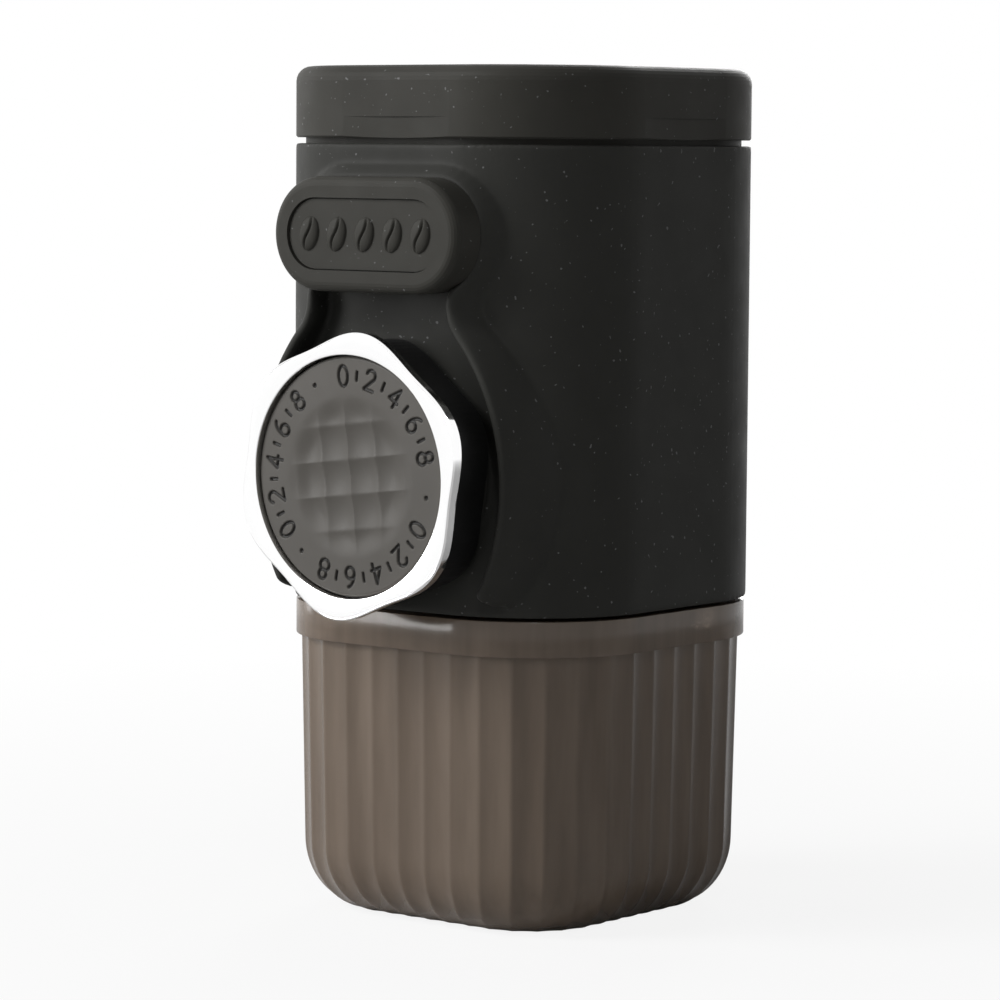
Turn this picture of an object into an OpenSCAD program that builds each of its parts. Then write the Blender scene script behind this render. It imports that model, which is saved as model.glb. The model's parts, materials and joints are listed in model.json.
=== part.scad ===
// Handheld manual espresso maker: a fluted water tank below, a pump housing in the
// middle and a drinking cup nested upside down in the top.
// Millimetres, +Z up. The origin is the middle of the flat base, under the upright
// axis. The pump knob faces -Y.

/* [Housing] */
// Width of the housing across its flats
body_w = 70; // [68:0.5:74]
// Radius of the housing's upright corners
corner_r = 23.2; // [21.5:0.1:24.5]
// Wall of the housing
shell_wall = 2.4; // [2.2:0.1:2.8]
// Height of the housing between its two seams
shell_h = 78.9; // [77:0.1:84]
// Dark gap between the tank's collar and the housing
tank_seam = 0.6; // [0.4:0.1:0.9]
// Groove between the housing and the cup's foot
cup_seam = 1; // [0.6:0.1:1.6]
// How deep the groove over the housing is
cup_seam_depth = 1.7; // [1:0.1:2]

/* [Water tank] */
// Height of the tank with its collar
tank_h = 54.6; // [50:0.1:62]
// Height of the smooth collar
collar_h = 6.1; // [5.2:0.1:8]
// How far the collar stands in from the housing on each side
collar_inset = 0.3; // [0:0.05:0.6]
// How far the fluted wall stands in from the collar at its top
flute_inset = 0.95; // [0.6:0.05:1.3]
// How much further in the fluted wall stands above its bottom rounding
tank_taper = 0.7; // [0:0.05:0.9]
// Reach of the bottom rounding inwards
foot_round_w = 10.8; // [8:0.1:13]
// Height of the bottom rounding
foot_round_h = 12.4; // [9:0.1:15]
// Flutes on a quarter of the tank
flutes_per_side = 10; // [8:1:12]
// Depth of a flute
flute_depth = 0.45; // [0.2:0.05:0.6]
// Wall of the tank at its flats
tank_wall = 2.4; // [2.2:0.05:2.8]
// Floor of the tank
tank_floor = 2.6; // [2:0.1:3.5]
// Radius of the tank's round mouth
mouth_r = 28.8; // [28.2:0.1:29.2]
// Thickness of the deck round the mouth
deck_t = 4; // [3:0.1:5]
// Turn that unlocks the tank and the portafilter
unlock_turn = 45; // [35:1:55]

/* [Cup] */
// Height of the cup's foot above its seam groove
foot_h = 12.3; // [10:0.1:16]
// Rounding of the foot's edge
foot_edge_r = 2.6; // [1:0.1:4]
// Wall of the cup
cup_wall = 2.2; // [1.8:0.1:2.4]
// Gap between the cup and the housing's well
cup_gap = 0.5; // [0.4:0.05:0.7]
// Thickness of the cup's bottom
cup_bottom = 3; // [2:0.1:4]
// Height of the finger scoops above the seam groove
scoop_h = 3.6; // [2:0.1:5]
// Depth of the finger scoops
scoop_depth = 0.3; // [0.1:0.05:0.6]

/* [Pump knob] */
// Height of the pump's axis above the housing's lower edge
pump_up = 23.3; // [22.8:0.1:24.8]
// How far the dial stands out from the housing's flat
dial_out = 11.3; // [10:0.1:13]
// Radius of the dial
dial_r = 20.25; // [19:0.05:20.6]
// Thickness of the dial
dial_t = 1.5; // [1.2:0.1:2]
// Middle radius of the bright ring's outline
ring_r = 23.5; // [22.8:0.1:24]
// Height of the ring's lobes over that radius
lobe = 0.9; // [0.3:0.1:1.1]
// Direction of the first lobe
lobe_turn = 21.5; // [0:0.5:60]
// Thickness of the bright ring
ring_t = 1.8; // [1.2:0.1:2.2]
// How far the ring stands out from the dial
ring_lip = 0.9; // [0.3:0.1:1.2]
// Outer radius of the knob's sleeve
sleeve_r = 16.5; // [15.8:0.1:16.6]
// Wall of the sleeve
sleeve_wall = 2.5; // [2:0.1:2.8]
// Stroke of the pump
stroke = 18; // [14:0.5:19]

/* [Guard round the knob] */
// How far the guard's inner wall lies from the pump's axis
guard_r = 26; // [25.6:0.1:26.6]
// Radius of the guard's inner wall
guard_bow = 36; // [30:0.5:42]
// How far the middle of the guard's arc lies under the pump's axis
guard_drop = 1; // [0:0.1:2]
// Width of the guard from its inner wall to its foot
guard_w = 4; // [3.4:0.1:4.6]
// How far the guard's crest stands out from the housing's flat
crest_out = 4.5; // [3:0.1:6]
// Width of the guard's rounded crest
crest_w = 1.5; // [1.2:0.1:2]
// Gap between the guard's lower tips and the seam under the housing
tip_gap = 2; // [0.5:0.1:4]
// Radius of the bend at the foot of the necks between guard and pad
neck_bend = 5.1; // [3:0.1:7]

/* [Pad over the knob] */
// Length of the pad
pad_l = 40.6; // [36:0.2:42]
// Height of the pad
pad_h = 19.4; // [17:0.2:20]
// Height of the pad's middle above the pump's axis
pad_up = 40.4; // [39.5:0.1:42.5]
// How far the pad's face stands out from the housing's flat
pad_out = 8.3; // [6:0.1:10]
// How far the shoulder under the pad stands out
shoulder_out = 2; // [1:0.1:3]
// Width of the shoulder round the pad
shoulder_w = 2.3; // [1.5:0.1:3]
// Margin of the pad round its inset panel
pad_margin = 3.6; // [3:0.1:5]
// Depth of the recess for the inset panel
inset_t = 1.2; // [0.8:0.1:1.6]

/* [Pump] */
// Bore radius of the pump
bore_r = 7.5; // [6.5:0.1:8]
// Wall of the pump barrel
barrel_wall = 3; // [2.4:0.1:3.4]
// Radius of the plunger rod
rod_r = 4; // [3:0.1:4.4]
// Length of the piston
piston_l = 7; // [6:0.1:7.6]
// Length of the rod guide
guide_l = 6; // [4:0.1:6]
// Depth of the knob's well from the housing's flat to its floor
well_depth = 27; // [26.5:0.1:27.5]
// Wire radius of the return spring
wire_r = 0.7; // [0.5:0.05:0.8]
// Turns of the return spring
spring_turns = 7; // [5:1:9]

/* [Brewing head] */
// Inner radius of the filter basket
basket_r = 18; // [16:0.1:18.2]
// Depth of the filter basket
basket_d = 18; // [15:0.1:19]
// Sheet thickness of the basket and the shower screen
sheet = 0.6; // [0.4:0.05:0.8]
// Wall of the portafilter
bowl_wall = 3.4; // [3:0.1:3.6]
// Height of the portafilter's funnel
funnel_h = 6; // [4:0.1:7]
// Radius of the coffee spout
spout_r = 5; // [4:0.1:6.5]
// Length of the coffee spout
spout_l = 8; // [6:0.1:9]
// Height of the collar that holds the portafilter
head_collar_h = 8; // [7.6:0.1:9]

/* [Fits] */
// Radial clearance of a shaft in its bore
fit = 0.05; // [0.02:0.01:0.08]
// Clearance between pieces that turn past each other
turn_gap = 0.35; // [0.3:0.05:0.4]

/* [Hidden] */
$fn = 72;

// Levels, from the base up
half_w = body_w / 2;
corner_c = half_w - corner_r;
shell_z0 = tank_h + tank_seam;
shell_z1 = shell_z0 + shell_h;
foot_z = shell_z1 + cup_seam;
pump_z = shell_z0 + pump_up;
pad_z = pump_z + pad_up;
top_z = foot_z + foot_h;

// Tank
collar_half = half_w - collar_inset;
flute_half = collar_half - flute_inset;
cavity_half = flute_half - tank_taper - flute_depth * 0.4 - tank_wall + tank_taper / 2;
deck_z = tank_h - deck_t;

// Chassis and its spigot, which holds the tank
plate_t = 3.2;
plate_gap = 0.4;
inner_half = half_w - shell_wall;
plate_half = inner_half - plate_gap;
plate_z = shell_z0 + plate_t;
spigot_r = mouth_r - turn_gap;
spigot_wall = 2.6;
lug_t = 3.2;
lug_r = cavity_half - turn_gap;
spigot_l = 5;
lug_angle = 24;
notch_angle = lug_angle + 6;
lug_count = 3;
seal_w = 2;
seal_margin = 0.5;
seal_depth = 1.2;
seal_squeeze = 0.05;

// Screws and the pillars that they hold
screw_r = 1.2;
screw_head_r = 2.2;
screw_l = 9;
pillar_r = 3.6;
pillar_at = corner_c + (plate_half - corner_c - screw_head_r - 0.4) / sqrt(2);

// Upper deck, which carries the brewing head
well_rim = 2;
well_margin = 1.4;
tube_r = sleeve_r + well_margin + well_rim;
deck_plate_t = 2.6;
deck_plate_z = pump_z + tube_r + 0.4;
deck_top = deck_plate_z + deck_plate_t;
platform_h = 1.8;
platform_z = deck_top + platform_h;
valve_seat_z = platform_z - 1.9;

// Pump, measured outwards from the housing's axis
face_t = half_w;
floor_t = face_t - well_depth;
well_floor = 2;
barrel_r = bore_r + barrel_wall;
flange_t = 2;
flange_r = barrel_r + 2.1;
well_r = sleeve_r + well_margin;
lock_lug_r = well_r - 0.3;
lock_lug_t = 3;
ledge_r = sleeve_r + 0.3;
ledge_back = floor_t + lock_lug_t + 1.2;
ledge_l = 3;
guide_t = floor_t - guide_l;
piston_back = guide_t - 1.5 - stroke;
piston_t = piston_back - piston_l;
chamber_t = piston_t - 1.5;
cap_wall = 2.7;
cap_back = -inner_half + 0.4;
face_seal_t = 0.8;
channel_r = 1.2;
channel_y = face_seal_t + channel_r + 0.7 - chamber_t;
port_w = 8;
port_l = 6;
port_rise = 1.2;
inlet_block_w = 12;
outlet_block_w = 9.2;
manifold_wall = 1.8;
port_low = pump_z - barrel_r - cap_wall - port_rise;
port_high = pump_z + barrel_r + cap_wall + port_rise;

// Umbrella valves
valve_r = 4;
valve_h = 1.3;
inlet_y = 20;
inlet_at = [0, inlet_y];
air_at = [15, -4];

// Knob
dial_face = face_t + dial_out;
dial_back = dial_face - dial_t;
ring_front = dial_face + ring_lip;
ring_back = ring_front - ring_t;
skirt_t = face_t + 1.8;
skirt_step = 1.3;
web_t = dial_back - 2.6;
hub_r = 7;
hub_t = web_t - 8;
knob_seat = 2;
rod_end = web_t - knob_seat;
knob_screw_r = 1.5;
knob_head_r = 3.2;
knob_screw_l = 8;
knob_head_gap = 2.35;
knob_head_t = 1.6;
knob_hex_r = 1.6;

// Pad
pad_r = pad_h / 2;
pad_c = pad_l / 2 - pad_r;
pad_edge = 1.6;
pad_gap = 0.15;
peg_r = 1.5;
peg_l = 2.6;
inset_r = pad_r - pad_margin;
inset_c = pad_c + 0.2;

// Brewing head
gasket_t = 1.8;
screen_z = platform_z;
gasket_z = screen_z + sheet;
rim_z = gasket_z + gasket_t;
basket_end = rim_z + basket_d;
bowl_in_r = basket_r + sheet + 0.3;
bowl_r = bowl_in_r + bowl_wall;
rim_r = bowl_in_r + 1.3;
bowl_z0 = rim_z - 1.2;
bowl_z1 = basket_end + 3;
pf_lug_r = bowl_r + 1.8;
pf_lug_t = 2.2;
head_in_r = pf_lug_r + turn_gap;
head_r = head_in_r + 2.6;
head_ledge_z = bowl_z0 + pf_lug_t + turn_gap;
spout_z = bowl_z1 + funnel_h;
outlet_r = 2.2;

// Cup
cup_half = inner_half - cup_gap;
cup_in_half = cup_half - cup_wall;
cup_rim_z = deck_top + 1.6;
cup_floor_z = top_z - cup_bottom;
neck_half = half_w - cup_seam_depth;
band_z = foot_z - 7;
band_h = 1.8;

// ---------------------------------------------------------------- shared shapes

// Rounded square whose corners turn about the housing's own corner centres
module rounded_square(half) {
  for (x = [-1, 1], y = [-1, 1])
    translate([x * corner_c, y * corner_c]) circle(half - corner_c);
  square([2 * half, 2 * corner_c], center = true);
  square([2 * corner_c, 2 * half], center = true);
}

module rounded_prism(half, z0, z1) {
  translate([0, 0, z0]) linear_extrude(z1 - z0) rounded_square(half);
}

// Solid with a rounded-square plan and the given side: points [half width, z], upwards
module rounded_sweep(side) {
  n = len(side);
  out = [for (p = side) [p[0] - corner_c, p[1]]];
  ends = [[0, side[n - 1][1]], [0, side[0][1]]];
  for (x = [-1, 1], y = [-1, 1])
    translate([x * corner_c, y * corner_c, 0]) rotate_extrude() polygon(concat(out, ends));
  whole = concat(side, [for (i = [n - 1:-1:0]) [-side[i][0], side[i][1]]]);
  for (turn = [0, 90])
    rotate([90, 0, turn]) linear_extrude(2 * corner_c, center = true) polygon(whole);
}

// Points along an ellipse from angle a0 to a1
function arc_points(cx, cy, rx, ry, a0, a1, steps) =
  [for (i = [0:steps]) let (a = a0 + (a1 - a0) * i / steps) [cx + rx * cos(a), cy + ry * sin(a)]];

module ring_2d(r_out, r_in) {
  difference() {
    circle(r_out);
    circle(r_in);
  }
}

// Wedge that covers an angle about its middle direction
module wedge(r, angle, middle) {
  a = angle / 2;
  rotate(middle) polygon([[0, 0], [r * cos(a), -r * sin(a)], [r * 1.5, 0], [r * cos(a), r * sin(a)]]);
}

// Lugs round a circle
module lugs_2d(r_out, r_in, angle, turn) {
  intersection() {
    ring_2d(r_out, r_in);
    for (i = [0:lug_count - 1]) wedge(2 * r_out, angle, turn + 360 * i / lug_count);
  }
}

// Frame of the pump: local z runs outwards along -Y from the housing's axis
module on_pump(t) {
  translate([0, -t, pump_z]) rotate([90, 0, 0]) children();
}

// Frame of the pad: local z runs outwards along -Y
module on_pad(t) {
  translate([0, -t, pad_z]) rotate([90, 0, 0]) children();
}

module stadium_2d(c, r) {
  for (x = [-c, c]) translate([x, 0]) circle(r);
  square([2 * c, 2 * r], center = true);
}

// Solid with a stadium plan and the given side: points [end radius, height], upwards
module stadium_sweep(c, side) {
  n = len(side);
  ends = [[0, side[n - 1][1]], [0, side[0][1]]];
  for (x = [-c, c]) translate([x, 0, 0]) rotate_extrude() polygon(concat(side, ends));
  whole = concat(side, [for (i = [n - 1:-1:0]) [-side[i][0], side[i][1]]]);
  rotate([90, 0, 90]) linear_extrude(2 * c, center = true) polygon(whole);
}

// Faces of a loft through m rings of n points, whose ends are fans about the two points
// that follow the rings
function tube_faces(m, n) = concat(
  [for (j = [0:m - 2], i = [0:n - 1], k = [0, 1])
     let (a = j * n + i, b = j * n + (i + 1) % n)
     k == 0 ? [a, a + n, b] : [b, a + n, b + n]],
  [for (i = [0:n - 1]) [i, (i + 1) % n, m * n]],
  [for (i = [0:n - 1]) [(m - 1) * n + (i + 1) % n, (m - 1) * n + i, m * n + 1]]);

// ---------------------------------------------------------------- water tank

// Point a share q of a quarter along the rounded square, from the middle of its front
// flat, and a dip below its surface there
function on_square(q, half, dip) =
  let (r = half - corner_c,
       quarter = 2 * corner_c + PI / 2 * r,
       w = q * quarter + corner_c,
       k = floor(w / quarter),
       s = w - k * quarter,
       a = max(0, s - 2 * corner_c) / r * 180 / PI,
       x = min(s, 2 * corner_c) - corner_c + (r - dip) * sin(a),
       y = -corner_c - (r - dip) * cos(a))
  [x * cos(90 * k) - y * sin(90 * k), x * sin(90 * k) + y * cos(90 * k)];

flute_steps = 4;
ring_points = 4 * flutes_per_side * flute_steps;

// One level of the fluted wall: each flute is a shallow hollow between sharp edges
function flute_ring(half, z) =
  [for (i = [0:ring_points - 1])
     let (f = (i % flute_steps) / flute_steps,
          p = on_square(4 * i / ring_points, half, flute_depth * 4 * f * (1 - f)))
     [p[0], p[1], z]];

foot_half = flute_half - tank_taper - foot_round_w;
round_steps = 7;
flute_levels = concat(
  [for (i = [0:round_steps]) let (a = 90 * (1 - i / round_steps))
     [foot_half + foot_round_w * cos(a), foot_round_h * (1 - sin(a))]],
  [[flute_half, tank_h - collar_h + 1]]);

module fluted_wall() {
  rings = [for (l = flute_levels) flute_ring(l[0], l[1])];
  n = ring_points;
  m = len(rings);
  top = flute_levels[m - 1][1];
  points = concat([for (r = rings, p = r) p], [[0, 0, 0], [0, 0, top]]);
  polyhedron(points, tube_faces(m, n), convexity = 4);
}

module water_tank() {
  in_w = foot_round_w - 1.5;
  in_h = foot_round_h - 2;
  bottom = arc_points(cavity_half - in_w, tank_floor + in_h, in_w, in_h, -90, 0, 5);
  color([0.42, 0.37, 0.33, 0.7]) difference() {
    union() {
      fluted_wall();
      rounded_prism(collar_half, tank_h - collar_h, tank_h);
    }
    rounded_sweep(concat(bottom, [[cavity_half, deck_z]]));
    translate([0, 0, tank_floor + in_h]) cylinder(h = tank_h, r = mouth_r);
    translate([0, 0, deck_z - 1]) linear_extrude(deck_t + 2)
      lugs_2d(lug_r + turn_gap, mouth_r - 1, notch_angle, -unlock_turn);
  }
}

module tank_seal() {
  r = mouth_r + seal_margin;
  color("dimgray") translate([0, 0, tank_h]) linear_extrude(tank_seam + seal_depth - seal_squeeze)
    ring_2d(r + seal_w, r);
}

// ---------------------------------------------------------------- housing

// Height of the housing's front over its flat, where the corner falls away
function front_h(x) = let (d = abs(x) - corner_c) d <= 0 ? 0 : sqrt(corner_r * corner_r - d * d) - corner_r;

function toward(a) = [cos(a), sin(a)];
function soft(q) = let (t = min(1, max(0, q))) t * t * (3 - 2 * t);

// The guard, the necks and the shoulder round the pad are one band of the same width. Its
// right half runs along three arcs that are tangent to each other, seen from the front.
bow_at = [guard_r - guard_bow, pump_z - guard_drop];
shoulder_at = [pad_c, pad_z];
shoulder_r = pad_r + shoulder_w - guard_w;
bow_reach = guard_bow + guard_w + neck_bend;
shoulder_reach = shoulder_r + guard_w + neck_bend;
span = norm(shoulder_at - bow_at);
bow_end = atan2(shoulder_at[1] - bow_at[1], shoulder_at[0] - bow_at[0])
  - acos((span * span + bow_reach * bow_reach - shoulder_reach * shoulder_reach) / (2 * span * bow_reach));
neck_at = bow_at + bow_reach * toward(bow_end);
shoulder_start = atan2(neck_at[1] - shoulder_at[1], neck_at[0] - shoulder_at[0]);
tip_start = -asin((bow_at[1] - shell_z0 - tip_gap) / (guard_bow + guard_w / 2));
nose_turn = guard_w / 2 / guard_bow * 180 / PI;
nose_steps = 4;
bow_steps = 22;
neck_steps = 12;
shoulder_steps = 12;
shoulder_crest = shoulder_out + 0.6;

// Stations along the band: [centre of the arc, signed radius of the inner wall, angle,
// height of the crest, how full the section is]
stations = concat(
  [for (i = [1:nose_steps]) let (q = i / (nose_steps + 1))
     [bow_at, guard_bow, tip_start + nose_turn * q, crest_out, sqrt(1 - (1 - q) * (1 - q))]],
  [for (i = [0:bow_steps])
     [bow_at, guard_bow, tip_start + nose_turn + (bow_end - tip_start - nose_turn) * i / bow_steps,
      crest_out, 1]],
  [for (i = [1:neck_steps - 1]) let (q = i / neck_steps)
     [neck_at, -neck_bend - guard_w, bow_end + (shoulder_start - bow_end) * q,
      crest_out + (shoulder_crest - crest_out) * soft(2 * q - 1), 1]],
  [for (i = [0:shoulder_steps])
     [shoulder_at, shoulder_r, shoulder_start + (90 - shoulder_start) * i / shoulder_steps,
      shoulder_crest, 1]]);

root_depth = 5;
foot_sink = 0.12;
wall_steps = 4;

// Section of the band: [distance from the inner wall, height over the housing's flat]
function band_section(crest, foot_h) = concat(
  [[0, foot_h - root_depth], [0, crest - 1.1], [0.3, crest - 0.3], [crest_w / 2, crest],
   [crest_w, crest - 0.3]],
  [for (i = [1:wall_steps]) let (t = i / wall_steps)
     [crest_w + (guard_w - crest_w) * t, crest - 0.3 + (foot_h - crest + 0.3) * pow(t, 1.3)]],
  [[guard_w + 0.4, foot_h - root_depth]]);

// The section as points in the housing, for the right half (side 1) or the left (side -1)
function band_ring(st, side) =
  let (n = toward(st[2]),
       inner = st[0] + st[1] * toward(st[2]),
       foot = inner + guard_w * n,
       middle = inner + guard_w / 2 * n,
       base = front_h(middle[0]))
  [for (q = band_section(st[3], front_h(foot[0]) - foot_sink))
     let (e = guard_w / 2 + (q[0] - guard_w / 2) * st[4],
          h = base + (q[1] - base) * st[4],
          at = inner + e * n)
     [side * at[0], -face_t - h, at[1]]];

module knob_guard() {
  last = len(stations) - 1;
  rings = concat([for (st = stations) band_ring(st, 1)],
                 [for (i = [last:-1:0]) band_ring(stations[i], -1)]);
  n = len(rings[0]);
  m = len(rings);
  ends = [for (r = [rings[0], rings[m - 1]]) (r[1] + r[n - 2]) / 2];
  points = concat([for (r = rings, p = r) p], ends);
  polyhedron(points, tube_faces(m, n), convexity = 8);
}

// Core of the shoulder, which the pad's seat is cut from
module pad_seat() {
  on_pad(face_t - shell_wall) linear_extrude(shell_wall + shoulder_crest)
    stadium_2d(pad_c, shoulder_r + guard_w / 4);
}

module body_shell() {
  color([0.13, 0.13, 0.13]) difference() {
    union() {
      difference() {
        union() {
          rounded_prism(half_w, shell_z0, shell_z1);
          knob_guard();
          pad_seat();
        }
        rounded_prism(inner_half, shell_z0 - 1, shell_z1 + 1);
      }
      on_pump(floor_t - well_floor) cylinder(h = face_t - 0.5 - floor_t + well_floor, r = tube_r);
      for (x = [-1, 1], y = [-1, 1])
        translate([x * pillar_at, y * pillar_at, plate_z])
          cylinder(h = deck_plate_z - plate_z, r = pillar_r);
    }
    on_pump(floor_t) cylinder(h = ledge_back - floor_t, r = well_r);
    on_pump(ledge_back - 0.5) {
      cylinder(h = ledge_l + 1, r = ledge_r);
      linear_extrude(ledge_l + 1) lugs_2d(well_r, sleeve_r - 2, notch_angle, 0);
    }
    on_pump(ledge_back + ledge_l) cylinder(h = well_depth, r = well_r);
    on_pump(0) cylinder(h = face_t, r = barrel_r + fit);
    for (x = [-1, 1], y = [-1, 1], z = [plate_z, deck_plate_z])
      translate([x * pillar_at, y * pillar_at, z])
        cylinder(h = 2 * screw_l, r = screw_r + fit, center = true);
    on_pad(face_t + shoulder_out) {
      linear_extrude(pad_out) stadium_2d(pad_c, pad_r + pad_gap);
      for (x = [-1, 1]) translate([x * pad_c, 0, -peg_l - pad_gap]) cylinder(h = 2 * peg_l, r = peg_r + fit);
    }
  }
}

module front_pad() {
  seat = face_t + shoulder_out;
  face = face_t + pad_out;
  side = concat([[pad_r, seat], [pad_r, face - pad_edge]],
                arc_points(pad_r - pad_edge, face - pad_edge, pad_edge, pad_edge, 18, 90, 4));
  color([0.26, 0.26, 0.25]) {
    difference() {
      on_pad(0) stadium_sweep(pad_c, side);
      on_pad(face - inset_t) linear_extrude(inset_t + 1) stadium_2d(inset_c, inset_r);
    }
    for (x = [-1, 1]) on_pad(seat - peg_l) translate([x * pad_c, 0, 0]) cylinder(h = peg_l + 1, r = peg_r);
  }
}

// Plain panel set into the pad, its face a little below the pad's
module pad_inset() {
  face = face_t + pad_out;
  color([0.22, 0.22, 0.21]) {
    on_pad(face - inset_t) linear_extrude(inset_t - 0.5) stadium_2d(inset_c, inset_r - 0.2);
  }
}

// ---------------------------------------------------------------- cup

module cup() {
  in_r = 5;
  e = foot_edge_r;
  side = concat([[half_w - 0.3, foot_z], [half_w, foot_z + 0.3]],
                arc_points(half_w - e, top_z - e, e, e, 0, 90, 6));
  inside = concat([[cup_in_half, cup_rim_z - 1]],
                  arc_points(cup_in_half - in_r, cup_floor_z - in_r, in_r, in_r, 0, 90, 4));
  reach = 0.97 * corner_c;
  scoop_r = (reach * reach + scoop_depth * scoop_depth) / (2 * scoop_depth);
  color([0.2, 0.2, 0.19]) difference() {
    union() {
      rounded_sweep(side);
      rounded_prism(neck_half, shell_z1, foot_z + 1);
      rounded_prism(cup_half, cup_rim_z, foot_z + 1);
    }
    rounded_sweep(inside);
    for (turn = [0:90:270]) rotate(turn)
      translate([0, -half_w + scoop_depth - scoop_r, foot_z - 1])
        cylinder(h = scoop_h + 1, r = scoop_r, $fn = 180);
    translate([0, 0, band_z]) linear_extrude(band_h) difference() {
      rounded_square(cup_half + 1);
      rounded_square(cup_half - 0.8);
    }
  }
}

// Grip band that holds the cup in the housing's well
module cup_band() {
  color([0.08, 0.08, 0.08]) translate([0, 0, band_z]) linear_extrude(band_h) difference() {
    rounded_square(cup_half + 0.15);
    rounded_square(cup_half - 0.8);
  }
}

// ---------------------------------------------------------------- chassis

module umbrella_valve(r, stem) {
  rotate_extrude() polygon([[0, -stem - 1.2], [0.9, -stem - 1], [1.5, -stem], [0.95, -stem],
                            [0.95, 0], [r, 0], [r, 0.5], [r - 1.2, 1], [0, 1.3]]);
}

// Holes for an umbrella valve: one for the stem and four round it for the flow
module valve_holes(h) {
  cylinder(h = h, r = 1, center = true);
  for (a = [45:90:315]) rotate(a) translate([valve_r * 0.6, 0, 0]) cylinder(h = h, r = 0.7, center = true);
}

module chassis() {
  saddle_t = 3;
  saddle_w = 18;
  saddle_back = 9.5;
  seal_r = mouth_r + seal_margin;
  color([0.2, 0.2, 0.2]) difference() {
    union() {
      rounded_prism(plate_half, shell_z0, plate_z);
      translate([0, 0, deck_z - spigot_l]) linear_extrude(shell_z0 + 1 - deck_z + spigot_l)
        ring_2d(spigot_r, spigot_r - spigot_wall);
      translate([0, 0, deck_z - turn_gap - lug_t]) linear_extrude(lug_t)
        lugs_2d(lug_r, spigot_r - 1, lug_angle, 0);
      for (y = [-well_floor, saddle_back])
        translate([-saddle_w / 2, y - saddle_t / 2, plate_z - 0.5])
          cube([saddle_w, saddle_t, pump_z - plate_z]);
    }
    on_pump(-half_w) cylinder(h = body_w, r = barrel_r + 0.1);
    translate([0, 0, shell_z0 - 0.01]) linear_extrude(seal_depth)
      ring_2d(seal_r + seal_w + 0.1, seal_r - 0.1);
    for (at = [inlet_at, air_at]) translate([at[0], at[1], shell_z0]) valve_holes(3 * plate_t);
    for (x = [-1, 1], y = [-1, 1]) translate([x * pillar_at, y * pillar_at, shell_z0 - 1]) {
      cylinder(h = plate_t + 2, r = screw_r + fit);
      cylinder(h = 1 + 1.8, r = screw_head_r + fit);
    }
  }
}

module case_screw() {
  cylinder(h = screw_l, r = screw_r);
  difference() {
    cylinder(h = 1.6, r = screw_head_r);
    for (a = [0, 90]) rotate(a) translate([0, 0, 0.3]) cube([2.6, 0.7, 1], center = true);
  }
}

module case_screws() {
  color("silver") for (x = [-1, 1], y = [-1, 1]) {
    translate([x * pillar_at, y * pillar_at, shell_z0 + 0.2]) case_screw();
    translate([x * pillar_at, y * pillar_at, deck_top - 0.2]) mirror([0, 0, 1]) case_screw();
  }
}

// ---------------------------------------------------------------- pump

module pump_barrel() {
  color([0.75, 0.75, 0.72]) on_pump(0) rotate_extrude()
    polygon([[bore_r, chamber_t], [barrel_r, chamber_t], [barrel_r, floor_t], [flange_r, floor_t],
             [flange_r, floor_t + flange_t], [bore_r, floor_t + flange_t]]);
}

module rod_guide() {
  color("ivory") on_pump(0) rotate_extrude()
    polygon([[rod_r + fit, guide_t], [bore_r - fit, guide_t], [bore_r - fit, floor_t + flange_t],
             [rod_r + fit, floor_t + flange_t]]);
}

module end_cap() {
  cap_r = barrel_r + cap_wall;
  color([0.3, 0.3, 0.3]) difference() {
    union() {
      on_pump(cap_back) cylinder(h = chamber_t + 8 - cap_back, r = cap_r);
      translate([-port_w / 2, channel_y - port_l / 2, port_low])
        cube([port_w, port_l, port_high - port_low]);
    }
    on_pump(chamber_t) cylinder(h = 20, r = barrel_r + fit);
    on_pump(chamber_t - face_seal_t) linear_extrude(2) ring_2d(barrel_r - 0.8, bore_r + 0.6);
    translate([0, channel_y, pump_z]) {
      cylinder(h = 4 * cap_r, r = channel_r, center = true);
      rotate([90, 0, 0]) cylinder(h = 8, r = 2 * channel_r);
    }
  }
}

module end_cap_seal() {
  color("black") on_pump(chamber_t - face_seal_t) linear_extrude(face_seal_t)
    ring_2d(barrel_r - 0.9, bore_r + 0.7);
}

// Water way from the valve in the chassis back and up into the end cap
module inlet_manifold() {
  z_mid = (plate_z + port_low) / 2 + 0.4;
  y0 = inlet_y - valve_r - manifold_wall;
  y1 = channel_y + port_l / 2;
  color([0.35, 0.35, 0.34]) difference() {
    translate([-inlet_block_w / 2, y0, plate_z]) cube([inlet_block_w, y1 - y0, port_low - plate_z]);
    translate([0, inlet_y, plate_z - 0.01]) cylinder(h = valve_h + 0.5, r = valve_r + 0.5);
    translate([0, inlet_y, plate_z]) cylinder(h = z_mid - plate_z, r = channel_r);
    translate([0, inlet_y, z_mid]) rotate([-90, 0, 0]) cylinder(h = channel_y - inlet_y, r = channel_r);
    translate([0, channel_y, z_mid]) cylinder(h = 20, r = channel_r);
  }
}

module inlet_valve() {
  color("white") translate([0, inlet_y, plate_z]) umbrella_valve(valve_r, plate_t);
}

module air_valve() {
  color("white") translate([air_at[0], air_at[1], plate_z]) umbrella_valve(valve_r, plate_t);
}

// Water way from the end cap up and forward to the brewing head
module outlet_manifold() {
  z_mid = (deck_plate_z + port_high) / 2 - 0.6;
  y1 = channel_y + port_l / 2;
  color([0.35, 0.35, 0.34]) difference() {
    translate([-outlet_block_w / 2, -outlet_block_w / 2, port_high])
      cube([outlet_block_w, y1 + outlet_block_w / 2, deck_plate_z - port_high]);
    translate([0, 0, z_mid]) cylinder(h = 20, r = channel_r);
    translate([0, 0, deck_plate_z - 1.5]) cylinder(h = 2, r = 3.4);
    translate([0, 0, z_mid]) rotate([-90, 0, 0]) cylinder(h = channel_y, r = channel_r);
    translate([0, channel_y, port_high - 1]) cylinder(h = z_mid - port_high + 1, r = channel_r);
  }
}

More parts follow.
